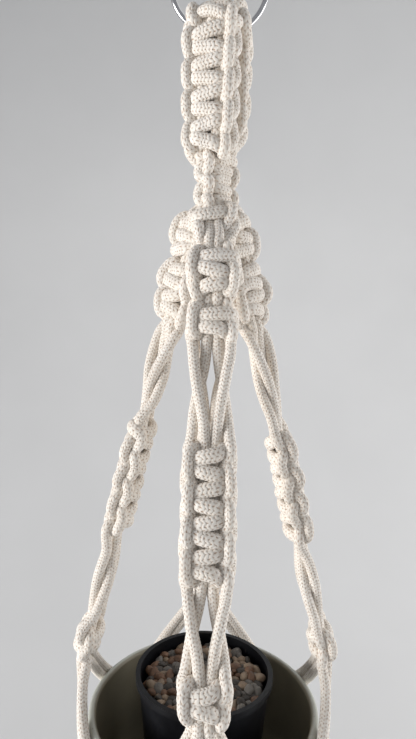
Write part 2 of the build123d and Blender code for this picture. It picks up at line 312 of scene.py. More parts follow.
def near_pairs(points, reach):
    """Index pairs of points closer than reach, from a grid of cells."""
    cells = np.floor(points / reach).astype(np.int64)
    cells -= cells.min(0) - 1
    size = cells.max(0) + 2
    key = (cells[:, 0] * size[1] + cells[:, 1]) * size[2] + cells[:, 2]
    order = np.argsort(key, kind="stable")
    ranked = key[order]
    pairs = []
    for dx in (-1, 0, 1):
        for dy in (-1, 0, 1):
            for dz in (-1, 0, 1):
                target = key + (dx * size[1] + dy) * size[2] + dz
                first = np.searchsorted(ranked, target, "left")
                last = np.searchsorted(ranked, target, "right")
                for extra in range(int((last - first).max())):
                    has = np.nonzero(first + extra < last)[0]
                    other = order[first[has] + extra]
                    keep = has < other
                    pairs.append(np.stack([has[keep], other[keep]], 1))
    pairs = np.vstack(pairs)
    gap = np.linalg.norm(points[pairs[:, 0]] - points[pairs[:, 1]], axis=1)
    return pairs[gap < reach]


def pull_tight(lines, hold, rounds, tight=0.22, touch=0.86, longest_step=0.6):
    """Shortens and smooths every line while keeping the cords a cord apart and near their layout.

    hold says for each point how firmly it keeps to its layout, tight how much a line is smoothed in a
    round, and touch how close two cords come, as a share of a cord.
    """
    points = np.vstack(lines)
    home = points.copy()
    owner = np.concatenate([np.full(len(line), i) for i, line in enumerate(lines)])
    index = np.arange(len(points))
    inside = np.ones(len(points), bool)
    starts = np.cumsum([0] + [len(line) for line in lines])
    for first, last in zip(starts[:-1], starts[1:]):
        inside[[first, first + 1, last - 2, last - 1]] = False
    moving = index[inside]
    skip = int(math.ceil(1.45 * CORD / SAMPLE))
    apart = touch * CORD
    for round_number in range(rounds):
        if round_number % 8 == 0:
            pairs = near_pairs(points, 1.35 * CORD)
            same = owner[pairs[:, 0]] == owner[pairs[:, 1]]
            close = np.abs(pairs[:, 0] - pairs[:, 1]) < skip
            pairs = pairs[~(same & close)]
        step = np.zeros_like(points)
        step[moving] += tight * ((points[moving - 1] + points[moving + 1]) / 2 - points[moving])
        step[moving] += hold[moving, None] * (home[moving] - points[moving])
        between = points[pairs[:, 0]] - points[pairs[:, 1]]
        gap = np.linalg.norm(between, axis=1)
        short = gap < apart
        push = (0.25 * (apart - gap[short]) / np.maximum(gap[short], TINY))[:, None] * between[short]
        for axis in range(3):
            step[:, axis] += np.bincount(pairs[short, 0], push[:, axis], len(points))
            step[:, axis] -= np.bincount(pairs[short, 1], push[:, axis], len(points))
        size = np.linalg.norm(step, axis=1)
        step *= np.minimum(1, longest_step / np.maximum(size, TINY))[:, None]
        step[~inside] = 0
        points += step
        keep_off_pot(points)
        keep_off_ring(points)
    return [points[first:last] for first, last in zip(starts[:-1], starts[1:])]


POT_CORNER = 40.0          # radius of the outer pot's rounded underside
MAX_SWING = 30             # the hanger's swing on the ring, in degrees each way
RING_SPACE = 1.9           # room on the wire for the wider section of a pressed cord


def keep_off_pot(points):
    """Pushes points out of the outer pot's wall and rounded underside."""
    corner = POT_CORNER
    clear = CORD / 2 + 0.1
    radius = np.hypot(points[:, 0], points[:, 1])
    z = points[:, 2]
    wall = (z < POT_RIM_Z) & (z > POT_BASE_Z + corner) & (radius < POT_R + clear)
    points[wall, :2] *= ((POT_R + clear) / np.maximum(radius[wall], TINY))[:, None]
    middle_r = POT_R - corner
    low = (z <= POT_BASE_Z + corner) & (z > POT_BASE_Z - clear) & (radius > middle_r)
    dr = radius - middle_r
    dz = z - (POT_BASE_Z + corner)
    reach = np.hypot(dr, dz)
    hit = low & (reach < corner + clear)
    scale = (corner + clear) / np.maximum(reach[hit], TINY)
    new_r = middle_r + dr[hit] * scale
    points[hit, :2] *= (new_r / np.maximum(radius[hit], TINY))[:, None]
    points[hit, 2] = POT_BASE_Z + corner + dz[hit] * scale


def keep_off_ring(points):
    """Pushes points off the ring's wire, wherever the ring swings."""
    low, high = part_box("hanging_ring")
    wire = (high.y - low.y) / 2 / MM
    ring_r = high.x / MM - wire
    near = np.nonzero(points[:, 2] > SWING_Z - 15)[0]
    clear = wire + CORD / 2 + RING_SPACE
    for tilt in np.radians(np.arange(-MAX_SWING, MAX_SWING + 1, 6)):
        sine, cosine = math.sin(tilt), math.cos(tilt)
        turn = np.array([[1, 0, 0], [0, cosine, -sine], [0, sine, cosine]])
        local = (points[near] - (0, 0, SWING_Z)) @ turn
        rise = local[:, 2] - ring_r
        rho = np.hypot(local[:, 0], rise)
        dr = rho - ring_r
        gap = np.hypot(dr, local[:, 1])
        hit = gap < clear
        grow = clear / np.maximum(gap[hit], TINY)
        new_rho = ring_r + dr[hit] * grow
        scale = new_rho / np.maximum(rho[hit], TINY)
        local[hit, 0] *= scale
        local[hit, 2] = ring_r + rise[hit] * scale
        local[hit, 1] *= grow
        points[near] = local @ turn.T + (0, 0, SWING_Z)


# ---------------------------------------------------------------- the hanger's cords

def at_angle(radius, degrees, z):
    """A point at a distance from the axis, turned from the front about the axis."""
    angle = math.radians(degrees)
    return np.array([radius * math.sin(angle), -radius * math.cos(angle), z])


def sideways(degrees):
    """The direction from left to right of a strap that faces out at an angle."""
    angle = math.radians(degrees)
    return np.array([math.cos(angle), math.sin(angle), 0.0])


# Heights of the hanger's work, in millimetres below the ring's top, and distances from the axis.
LOOP_PITCH = 8.55
LOOP_HALF_KNOTS = 18
LOOP_START = -0.3
LOOP_TURN = -22             # the loop hangs a little turned, with its right edges to the front
NECK_TURN = 45
CROWN_START = 158
ARM_TOP = -node_span("crown_knots_front")[0]
JOIN_TOP = -node_span("join_knot_front_right")[1]
JOIN_BOTTOM = -node_span("join_knot_front_right")[0]
ARM_HALF_KNOTS = 8
# Each crown strap's distance from the axis and its width go with its depth. Its knots are (top, half knots,
# pitch), and its waist is where it is drawn in between the two.
FACE_CROWN = {"depth": (158, 165, 170, 177, 187, 197, 207, 232), "radius": (3, 9, 16, 21, 25, 28, 27, 28),
              "width_depth": (158, 169, 181, 192, 203, 213.5, 221, 230, 240),
              "width": (0.8, 0.95, 0.78, 1.0, 1.0, 0.75, 0.95, 1.0, 1.1),
              "waist": 213.5, "knots": ((187.5, 3, 6.5), (218, 2, 7.0))}
SIDE_CROWN = {"depth": (158, 164, 171, 178, 190, 204, 214, 225, 240),
              "radius": (3, 9, 13, 13.6, 16, 21, 21.5, 24, 29.8),
              "width_depth": (158, 166, 174, 181, 189.5, 199, 211, 225, 240),
              "width": (0.7, 0.85, 1.0, 1.0, 0.62, 1.02, 1.02, 0.75, 0.85),
              "waist": 189.5, "knots": ((163.5, 3, 7.7), (191.8, 4, 7.5))}
SIDE_TWIST = 45
SHOULDER = 164              # where the front and back straps cross over once before their first knots
SHOULDER_WAIST = 181        # where their cords are drawn together below it
SWAP_GAP = 3                # how far a swap of cords keeps from the knots above and below it


def make_loop():
    """The strap folded over the ring: three fillers under wide square knots, down both legs."""
    leg = (FOLD_TOP_Z - SWING_Z) / 2
    leg_length = SWING_Z - LOOP_BOTTOM_Z
    fold_length = math.pi * leg
    fold_low = node_span("loop_fold")[0]
    plump = -2.5                    # the fold is pressed flat on the wire

    def centre(s):
        if s < leg_length:
            return at_angle(leg, LOOP_TURN, LOOP_BOTTOM_Z + s)
        if s > leg_length + fold_length:
            return at_angle(-leg, LOOP_TURN, SWING_Z - (s - leg_length - fold_length))
        angle = (s - leg_length) / leg
        reach = leg + plump * math.sin(angle)
        return at_angle(reach * math.cos(angle), LOOP_TURN, SWING_Z + reach * math.sin(angle))

    def piece(s):
        z = centre(s)[2]
        if z > fold_low:
            return "loop_fold"
        return "loop_front_leg" if s < leg_length else "loop_back_leg"

    fillers = [(-0.9, 0), (0, 0), (0.9, 0)]
    tail = 1                                # the ends go down inside the neck
    tucked = (-0.4, -0.2, 0, 0.2, 0.4)
    cords = [Cord() for _ in range(5)]
    length = 2 * leg_length + fold_length
    place = strap_place(centre, lambda s: -sideways(LOOP_TURN),
                        lambda s: np.interp(min(s, length - s), (0, 28), (0.76, 1.0)))
    strap = Strap(cords, place, LOOP_START, fillers, 1.15)
    def tuck(radius, leg_piece):
        for cord, u in zip(strap.slots, tucked):
            end = at_angle(radius, LOOP_TURN, LOOP_BOTTOM_Z - tail)
            cord.add(end - u * CORD * sideways(LOOP_TURN), leg_piece)

    tuck(1, "loop_front_leg")
    strap.knots(LOOP_HALF_KNOTS, LOOP_PITCH, piece, first=-1)
    tuck(-1, "loop_back_leg")
    return cords


def make_neck():
    """Both legs' cords tied together: square knots round one filler, turned an eighth."""
    top, bottom = -NECK_TOP_Z, -NECK_BOTTOM_Z
    fillers = [(0, 0)]
    cords = [Cord() for _ in range(3)]
    place = strap_place(lambda s: np.array([0, 0, -s]), lambda s: sideways(NECK_TURN))
    strap = Strap(cords, place, top, fillers, 0.85, 0.42, widen=0.12, hold=FIRM)
    strap.straight(top - 9, "neck_sennit", 0.6)
    strap.s = top + 0.5
    strap.knots(6, (bottom - top - 0.5) / 6, "neck_sennit")
    strap.straight(bottom + 6, "neck_sennit", 0.6)
    return cords


def make_arm(name):
    """Four cords of one arm, from the neck to the basket knot, with its two crown knots."""
    turn = TURNS[name]
    on_side = name in ("left", "right")
    crown = SIDE_CROWN if on_side else FACE_CROWN
    twist = {"left": SIDE_TWIST, "right": -SIDE_TWIST}.get(name, 0)
    sennit_bottom, sennit_top = (-z for z in node_span(f"arm_sennit_{name}"))
    basket_bottom, basket_top = (-z for z in node_span(f"basket_knot_{name}"))

    def centre(s):
        radius = np.interp(s, crown["depth"], crown["radius"])
        if s > crown["depth"][-1]:
            radius = arm_radius(-s)
        return at_angle(radius, turn, -s)

    def across(s):
        fade = np.interp(s, (ARM_TOP, sennit_top), (1, 0))
        return sideways(turn + twist * fade)

    def width(s):
        if s > basket_top - 10:
            return np.interp(s, (basket_top, basket_bottom), (1.0, 0.72))
        if s > crown["width_depth"][-1]:
            return np.interp(s, (crown["width_depth"][-1], sennit_top), (crown["width"][-1], 1.0))
        return np.interp(s, crown["width_depth"], crown["width"])

    strap = Strap([Cord() for _ in range(4)], strap_place(centre, across, width), CROWN_START)
    strap.straight(CROWN_START, "crown_core", 0.5)
    if not on_side:
        strap.s = SHOULDER
        strap.knots(1, 6.5, "crown_core")
        strap.pinch(SHOULDER_WAIST, "crown_core")
    for top, count, pitch in crown["knots"]:
        if top > crown["waist"]:
            strap.pinch(crown["waist"], f"crown_knots_{name}")
        strap.s = top
        strap.knots(count, pitch, f"crown_knots_{name}")
    if on_side:
        strap.pinch(ARM_TOP - 5, f"arm_cords_{name}")
    else:
        strap.straight(ARM_TOP + 4, f"arm_cords_{name}")
    strap.swap(sennit_top - SWAP_GAP, f"arm_cords_{name}")
    strap.s = sennit_top
    strap.knots(ARM_HALF_KNOTS, (sennit_bottom - sennit_top) / ARM_HALF_KNOTS, f"arm_sennit_{name}")
    strap.s = sennit_bottom + SWAP_GAP
    strap.swap(basket_top - SWAP_GAP, f"swap_cords_{name}")
    strap.s = basket_top + 0.5
    strap.knots(2, (basket_bottom - basket_top - 3) / 2, f"basket_knot_{name}")
    strap.pinch(basket_bottom + 1, f"net_cords_{name}")
    return strap.slots


def make_net(arms):
    """Each arm parts into two pairs round the pot, and neighbours' pairs meet in a corner knot."""
    names = list(TURNS)
    net_r = POT_R + 3.6
    quarter = net_r * math.pi / 4
    ends = []
    for i, corner in enumerate(CORNERS):
        left, right = names[i], names[(i + 1) % 4]
        corner_turn = TURNS[left] + 45
        slots = [arms[left][2], arms[left][3], arms[right][0], arms[right][1]]
        for slot, cord in enumerate(slots):
            name, side = (left, 1) if slot < 2 else (right, -1)
            turn = TURNS[name]
            start = (0.52, 1.5, -1.5, -0.52)[slot] * CORD
            end = side * quarter + (-1.6, -0.5, 0.5, 1.6)[slot] * CORD
            for share, radius, depth in ((0.16, 0, 457), (0.46, 0.5, 475), (0.76, 0.7, 491)):
                u = start + (end - start) * share
                point = at_angle(net_r + radius, turn + math.degrees(u / net_r), -depth)
                cord.add(point, f"net_cords_{name}")
        place = strap_place(lambda s, t=corner_turn: at_angle(JOIN_R, t, -s),
                            lambda s, t=corner_turn: sideways(t))
        strap = Strap(slots, place, JOIN_TOP)
        strap.knots(2, (JOIN_BOTTOM - JOIN_TOP) / 2, f"join_knot_{corner}")
        for slot, cord in enumerate(strap.slots):
            u = (-1.5, -0.5, 0.5, 1.5)[slot] * 7.2
            for radius, depth in ((79.6, 541), (69.8, 561), (49.8, 577.5), (30, 584)):
                turn = corner_turn + math.degrees(math.atan2(u * min(1, radius / 60 + 0.3), radius))
                cord.add(at_angle(radius, turn, -depth), f"under_cords_{corner}")
            ends.append((corner_turn + (slot - 1.5) * 22.5, cord))
    return ends


TASSEL_RINGS = ((11, 12.0), (5, 5.3))       # strands, and their distance from the axis
INNER_ENDS = (0, 3, 6, 9, 12)               # which of the sixteen cords go to the inner ring
WRAP_TOP = 598
STRAND_TOP = 636


def make_gather(ends):
    """The sixteen cords turn down through the wrap and come out below it as the tassel."""
    (outer_count, outer_r), (inner_count, inner_r) = TASSEL_RINGS
    outer = [i for i in range(16) if i not in INNER_ENDS]
    places = {}
    for k, member in enumerate(outer):
        places[member] = (outer_r, 360 * ((k + 1) % outer_count) / outer_count)
    places.update({member: (inner_r, 360 * k / inner_count) for k, member in enumerate(INNER_ENDS)})
    for i, (turn, cord) in enumerate(sorted(ends, key=lambda pair: pair[0])):
        radius, end_turn = places[i]
        swing = (end_turn - turn + 180) % 360 - 180
        for reach, share, depth in ((19, 0, 590), (11.5, 0, WRAP_TOP), (8.5, 0.2, 608)):
            cord.add(at_angle(reach, turn + swing * share, -depth), "gathering_wrap")
        for depth in (620, 630, STRAND_TOP + 1):
            reach = np.interp(depth, (608, 630), (8.5, radius))
            cord.add(at_angle(reach, end_turn, -depth), "gathering_wrap")


# ---------------------------------------------------------------- cord meshes

class Tube:
    """The surface of one braided cord: rings of points along a line, with the braid's relief.

    press holds a vector for each point of the line, along which knots widen the cord's section.
    """

    def __init__(self, line, radius, tone, twist, press=None):
        points, _ = smooth_line(line, [None] * len(line), RING_STEP)
        self.points = points
        ahead = np.gradient(points, axis=0)
        ahead /= np.linalg.norm(ahead, axis=1)[:, None]
        normal = np.empty_like(points)
        side = np.cross(ahead[0], (0.3, 0.2, 0.93))
        side /= np.linalg.norm(side)
        for i, t in enumerate(ahead):
            side = side - t * (side[0] * t[0] + side[1] * t[1] + side[2] * t[2])
            side /= math.sqrt(side[0] ** 2 + side[1] ** 2 + side[2] ** 2)
            normal[i] = side
        binormal = np.cross(ahead, normal)
        along = (np.arange(len(points)) * RING_STEP)[:, None]
        angle = np.linspace(0, 2 * math.pi, AROUND, endpoint=False)[None, :]
        turned = angle + along * twist
        out = np.cos(turned)[..., None] * normal[:, None] + np.sin(turned)[..., None] * binormal[:, None]
        reach = radius + STITCH_RELIEF * (braid(angle, along) - 0.8)
        offset = out * reach[..., None]
        if press is not None:
            at = np.linspace(0, 1, len(points))
            share = np.linspace(0, 1, len(line))
            push = np.stack([np.interp(at, share, press[:, axis]) for axis in range(3)], 1)
            offset += (offset * push[:, None]).sum(-1, keepdims=True) * push[:, None]
        self.surface = points[:, None] + offset
        flat = np.ones_like(turned)
        self.weave = np.stack([np.cos(angle) * flat, np.sin(angle) * flat, along * flat], -1)
        self.tone = tone


def braid(angle, along):
    """Height from 0 to 1 of a cord's knitted stitches: slanted stitches with a hole at each corner."""
    column = angle / (2 * math.pi) * STITCHES_AROUND
    across = column % 1
    slant = np.where(np.floor(column) % 2 == 0, across, 1 - across)
    phase = along / STITCH_LENGTH + STITCH_SLANT * slant
    line = np.abs((phase + 0.5) % 1 - 0.5)
    edge = np.minimum(across, 1 - across)
    hole = np.exp(-(edge / 0.24) ** 2 - (line / 0.2) ** 2)
    groove = np.exp(-(line / 0.13) ** 2)
    return 1 - 0.6 * hole - 0.45 * groove


def mesh_object(name, parts):
    """A mesh object from parts, each (vertices in mm, faces, weave attribute, tone)."""
    vertices = np.vstack([part[0] for part in parts]) * MM
    mesh = bpy.data.meshes.new(name)
    mesh.vertices.add(len(vertices))
    mesh.vertices.foreach_set("co", vertices.astype(np.float32).ravel())
    corners = []
    sizes = []
    base = 0
    for points, faces, _, _ in parts:
        for block in faces:
            corners.append((np.asarray(block) + base).ravel())
            sizes.append(np.full(len(block), len(block[0])))
        base += len(points)
    corners = np.concatenate(corners).astype(np.int32)
    sizes = np.concatenate(sizes)
    mesh.loops.add(len(corners))
    mesh.loops.foreach_set("vertex_index", corners)
    mesh.polygons.add(len(sizes))
    mesh.polygons.foreach_set("loop_start", (np.cumsum(sizes) - sizes).astype(np.int32))
    mesh.polygons.foreach_set("use_smooth", np.ones(len(sizes), bool))
    mesh.update(calc_edges=True)
    mesh.validate()
    weave = np.vstack([part[2] for part in parts]).astype(np.float32)
    mesh.attributes.new("weave", "FLOAT_VECTOR", "POINT").data.foreach_set("vector", weave.ravel())
    tone = np.concatenate([np.full(len(part[0]), part[3]) for part in parts]).astype(np.float32)
    mesh.attributes.new("tone", "FLOAT", "POINT").data.foreach_set("value", tone)
    obj = bpy.data.objects.new(name, mesh)
    bpy.context.scene.collection.objects.link(obj)
    return obj


def tube_part(surface, weave, tone):
    """Vertices, faces with closed ends, weave values and tone of rings of points."""
    rings, around = surface.shape[:2]
    grid = np.arange(rings * around).reshape(rings, around)
    nxt = np.roll(grid, -1, axis=1)
    quads = np.stack([grid[:-1], nxt[:-1], nxt[1:], grid[1:]], -1).reshape(-1, 4)
    first = grid[0][::-1][None]
    last = grid[-1][None]
    return surface.reshape(-1, 3), [quads, first, last], weave.reshape(-1, 3), tone


def cord_parts(line, marks, tone, twist):
    """Cuts one cord's tube into its pieces: a list of (piece, part)."""
    length = np.concatenate([[0], np.cumsum(np.linalg.norm(np.diff(line, axis=0), axis=1))])
    even = np.linspace(0, length[-1], len(line))
    press = np.array([mark[1] for mark in marks])
    press = np.stack([np.interp(even, length, np.convolve(press[:, axis], np.ones(3) / 3, "same"))
                      for axis in range(3)], 1)
    tube = Tube(line, CORD / 2, tone, twist, press)
    owner = np.searchsorted(length / length[-1], np.linspace(0, 1, len(tube.points)))
    names = np.array([mark[0] for mark in marks])[np.minimum(owner, len(marks) - 1)]
    cuts = np.nonzero(names[1:] != names[:-1])[0] + 1
    bounds = [0, *cuts, len(names)]
    parts = []
    for first, last in zip(bounds[:-1], bounds[1:]):
        last = min(last + 1, len(names))
        if last - first > 1:
            parts.append((names[first], tube_part(tube.surface[first:last], tube.weave[first:last], tone)))
    return parts


def build_hanger():
    """All the hanger's cords, pulled tight together, as one object for each knot and run."""
    loop = make_loop()
    neck = make_neck()
    arms = {name: make_arm(name) for name in TURNS}
    make_gather(make_net(arms))
    cords = loop + neck + [cord for name in TURNS for cord in arms[name]]
    lines = []
    owners = []
    for cord in cords:
        line, marks = smooth_line(cord.points, cord.marks, SAMPLE)
        lines.append(line)
        owners.append(marks)
    hold = np.array([mark[2] for marks in owners for mark in marks])
    lines = pull_tight(lines, hold, rounds=140)
    groups = {}
    for line, marks in zip(lines, owners):
        tone = rng.uniform(0, 1)
        twist = rng.uniform(-0.02, 0.02)
        for piece, part in cord_parts(line, marks, tone, twist):
            groups.setdefault(piece, []).append(part)
    groups["gathering_wrap"].append(wrap_part())
    for piece, parts in groups.items():
        obj = mesh_object(f"{piece}_cord", parts)
        obj.data.materials.append(MATERIALS["cotton"])
        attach(obj, "hanger")
        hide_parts(piece)


def wrap_part():
    """The cord wound round the sixteen ends, with its own ends tucked inside."""
    turns = 4.6
    coil_r = 14.2
    count = 90
    points = [at_angle(4, 30, -WRAP_TOP - 2)]
    for i in range(count + 1):
        share = i / count
        points.append(at_angle(coil_r, 40 + 360 * turns * share, -WRAP_TOP - 2 - 23 * share))
    points.append(at_angle(5, 60 + 360 * turns, -WRAP_TOP - 25))
    line, _ = smooth_line(points, [None] * len(points), SAMPLE)
    tube = Tube(line, CORD / 2, 0.4, 0.0)
    return tube_part(tube.surface, tube.weave, 0.4)


# ---------------------------------------------------------------- the tassel

# Each strand's route from where it leaves the wrap: outwards, sideways and down, in millimetres.
OUTER_ROUTES = [
    [(0, 0, 0), (0.6, 0.2, 22), (3.2, -0.3, 58), (5.0, 0.9, 98), (6.4, 0.2, 134), (6.2, 0.6, 160)],
    [(0, 0, 0), (0.9, -0.2, 26), (3.6, 0.5, 62), (6.6, -0.4, 100), (7.2, 0.5, 132), (7.9, 0.3, 156)],
    [(0, 0, 0), (0.4, 0.1, 24), (2.2, -0.6, 60), (4.6, 0.3, 96), (5.0, -0.8, 136), (5.9, -0.9, 162)],
    [(0, 0, 0), (1.0, 0.3, 24), (4.2, 0.1, 56), (5.8, -0.8, 94), (7.6, -0.2, 130), (7.4, -0.7, 158)],
]
INNER_ROUTES = [
    [(0, 0, 0), (0.2, 0.1, 24), (1.0, -0.3, 60), (1.6, 0.3, 98), (2.4, -0.2, 134), (2.3, 0.1, 160)],
    [(0, 0, 0), (0.3, -0.1, 26), (1.2, 0.3, 62), (1.3, -0.2, 100), (2.0, 0.4, 132), (2.6, 0.3, 157)],
]
WRAP_R = 16.0
STRAND = 6.0                # the strands' CAD diameter


def strand_route(angle, ring_r, route):
    """A strand's route turned to its angle, from just under the wrap's round underside."""
    reach = ring_r - STRAND / 2
    top = TASSEL_Z - math.sqrt((WRAP_R + 0.5) ** 2 - reach ** 2)
    points = []
    for out, across, down in route:
        r = ring_r + out
        turn = angle + math.degrees(math.atan2(across, r))
        points.append(at_angle(math.hypot(r, across), turn, top - down))
    return points


def spline_points(name, route):
    """The line of the route's NURBS spline, in millimetres."""
    curve = bpy.data.curves.new(name, "CURVE")
    curve.dimensions = "3D"
    spline = curve.splines.new("NURBS")
    spline.points.add(len(route) - 1)
    for point, place in zip(spline.points, route):
        point.co = (*(place * MM), 1)
    spline.order_u = 3
    spline.use_endpoint_u = True
    spline.resolution_u = 24
    obj = bpy.data.objects.new(name, curve)
    bpy.context.scene.collection.objects.link(obj)
    mesh = bpy.data.meshes.new_from_object(obj)
    points = np.empty(len(mesh.vertices) * 3)
    mesh.vertices.foreach_get("co", points)
    bpy.data.objects.remove(obj)
    bpy.data.curves.remove(curve)
    bpy.data.meshes.remove(mesh)
    return points.reshape(-1, 3) / MM


FRAY_THREADS, FRAY_OUTER = 20, 14       # threads at a cut end, and how many of them stand round its edge
THREAD_R = 0.42


def fray(tube, seed):
    """Loose threads at a strand's cut end: a short tuft of thin, slightly splayed tubes."""
    local = np.random.default_rng(seed)
    end = tube.points[-1]
    ahead = tube.points[-1] - tube.points[-4]
    ahead /= np.linalg.norm(ahead)
    side = np.cross(ahead, (0, 1, 0.1))
    side /= np.linalg.norm(side)
    other = np.cross(ahead, side)
    parts = []
    for i in range(FRAY_THREADS):
        inner = i >= FRAY_OUTER
        turn = 2.4 * i
        reach = local.uniform(0.3, 1.6) if inner else local.uniform(2.9, 3.05)
        out = math.cos(turn) * side + math.sin(turn) * other
        length = local.uniform(3.9, 4.8)
        splay = local.uniform(0.0, 0.15)
        first = 3.1 if inner else -1.5
        line = [end + out * reach + ahead * (first + (length - first) * t) + out * splay * 2.5 * t * t
                for t in np.linspace(0, 1, 6)]
        parts.append(thin_tube(np.array(line), THREAD_R, 7))
    return parts


def thin_tube(line, radius, around):
    """A plain thin thread along a line."""
    ahead = np.gradient(line, axis=0)
    ahead /= np.linalg.norm(ahead, axis=1)[:, None]
    side = np.cross(ahead, (0.2, 0.9, 0.1))
    side /= np.linalg.norm(side, axis=1)[:, None]
    other = np.cross(ahead, side)
    angle = np.linspace(0, 2 * math.pi, around, endpoint=False)[None, :, None]
    thick = (radius * np.sqrt(np.clip(1 - np.linspace(0, 1, len(line)) ** 3, 0.1, 1)))[:, None, None]
    surface = line[:, None] + thick * (np.cos(angle) * side[:, None] + np.sin(angle) * other[:, None])
    return tube_part(surface, np.zeros_like(surface) + (1, 0, 0.5 * STITCH_LENGTH), 0.5)


def build_tassel():
    """Sixteen strands that hang from the wrap, each along its curved route."""
    number = 0
    for (count, ring_r), routes in zip(TASSEL_RINGS, (OUTER_ROUTES, INNER_ROUTES)):
        for i in range(count):
            number += 1
            route = strand_route(360 * i / count, ring_r, routes[i % len(routes)])
            name = f"tassel_strand_{number:02d}"
            line = spline_points(name, route)
            even, _ = smooth_line(line, [None] * len(line), SAMPLE)
            tube = Tube(even, CORD / 2, rng.uniform(0, 1), rng.uniform(-0.01, 0.01))
            parts = [tube_part(tube.surface, tube.weave, tube.tone)] + fray(tube, number)
            obj = mesh_object(f"{name}_cord", parts)
            obj.data.materials.append(MATERIALS["cotton"])
            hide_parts(name)
            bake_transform(obj)


# ---------------------------------------------------------------- pebbles

PEBBLE_KINDS = ["brown", "tan", "grey", "dark"]
# Each layer's count, height above the bed's CAD top, and smallest and largest half length.
PEBBLE_LAYERS = ((60, -13, 4.0, 5.4), (150, -7, 2.6, 3.9), (215, -2.2, 2.1, 3.7))
GOLDEN_TURN = 2.39996       # radians from one pebble's seat to the next, so that they spread evenly


def build_pebbles():
    """Loose river pebbles on the soil, packed in three layers inside the inner pot."""
    low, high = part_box("pebbles")
    bed_r = high.x / MM - 1.0
    bed_low, bed_high = low.z / MM, high.z / MM
    local = np.random.default_rng(21)
    seats = []
    sizes = []
    for layer, (count, height, small, large) in enumerate(PEBBLE_LAYERS):
        for i in range(count):
            r = (bed_r - 3) * math.sqrt((i + 0.5) / count)
            turn = GOLDEN_TURN * i + layer
            z = bed_high + height + local.uniform(-0.8, 0.8)
            seats.append((r * math.cos(turn), r * math.sin(turn), z))
            sizes.append(local.uniform(small, large))
    seats = np.array(seats)
    sizes = np.array(sizes)
    for _ in range(50):
        between = seats[:, None] - seats[None]
        gap = np.linalg.norm(between, axis=-1) + np.eye(len(seats)) * 99
        need = 0.80 * (sizes[:, None] + sizes[None])
        push = np.clip(need - gap, 0, None) / gap * 0.3
        seats += (between * push[..., None]).sum(1)
        seats[:, 2] = np.clip(seats[:, 2], bed_low + 4, bed_high - 1.2)
        radius = np.hypot(seats[:, 0], seats[:, 1])
        limit = bed_r - sizes * 0.95
        over = radius > limit
        seats[over, :2] *= (limit[over] / radius[over])[:, None]
    base = pebble_ball(3)
    groups = {}
    for seat, size in zip(seats, sizes):
        kind = int(local.integers(0, len(PEBBLE_KINDS)))
        shape = base[0].copy()
        stretch = np.array([1.15, local.uniform(0.7, 1.0), local.uniform(0.55, 0.85)]) * size * 1.1
        for scale, depth in ((1.2, 0.22), (2.6, 0.12), (5.0, 0.05)):
            wave = local.normal(size=(3, 3)) * scale
            shape = shape * (1 + depth * np.sin(base[0] @ wave.T + local.uniform(0, 6, 3)).mean(1))[:, None]
        shape = shape * stretch
        shape = shape @ tumble(local).T + seat
        shades = np.zeros_like(shape) + (local.uniform(0, 1), local.uniform(0, 1), 0)
        groups.setdefault(kind, []).append((shape, [base[1]], shades, local.uniform(0, 1)))
    for kind, parts in groups.items():
        obj = mesh_object(f"pebbles_{PEBBLE_KINDS[kind]}", parts)
        obj.data.materials.append(MATERIALS[f"pebble_{PEBBLE_KINDS[kind]}"])
        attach(obj, "liner")
        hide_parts("pebbles")


def tumble(local):
    """A turn about the vertical, and a small tilt, as a pebble comes to rest flat."""
    a, b = local.uniform(0, 2 * math.pi), local.uniform(-0.8, 0.8)
    flat = np.array([[math.cos(a), -math.sin(a), 0], [math.sin(a), math.cos(a), 0], [0, 0, 1]])
    tilt = np.array([[1, 0, 0], [0, math.cos(b), -math.sin(b)], [0, math.sin(b), math.cos(b)]])
    return tilt @ flat


def pebble_ball(steps):
    """Vertices and faces of a round ball."""
    ball = bmesh.new()
    bmesh.ops.create_icosphere(ball, subdivisions=steps, radius=1)
    vertices = np.array([v.co for v in ball.verts])
    faces = np.array([[v.index for v in face.verts] for face in ball.faces])
    ball.free()
    return vertices, faces


# ---------------------------------------------------------------- materials

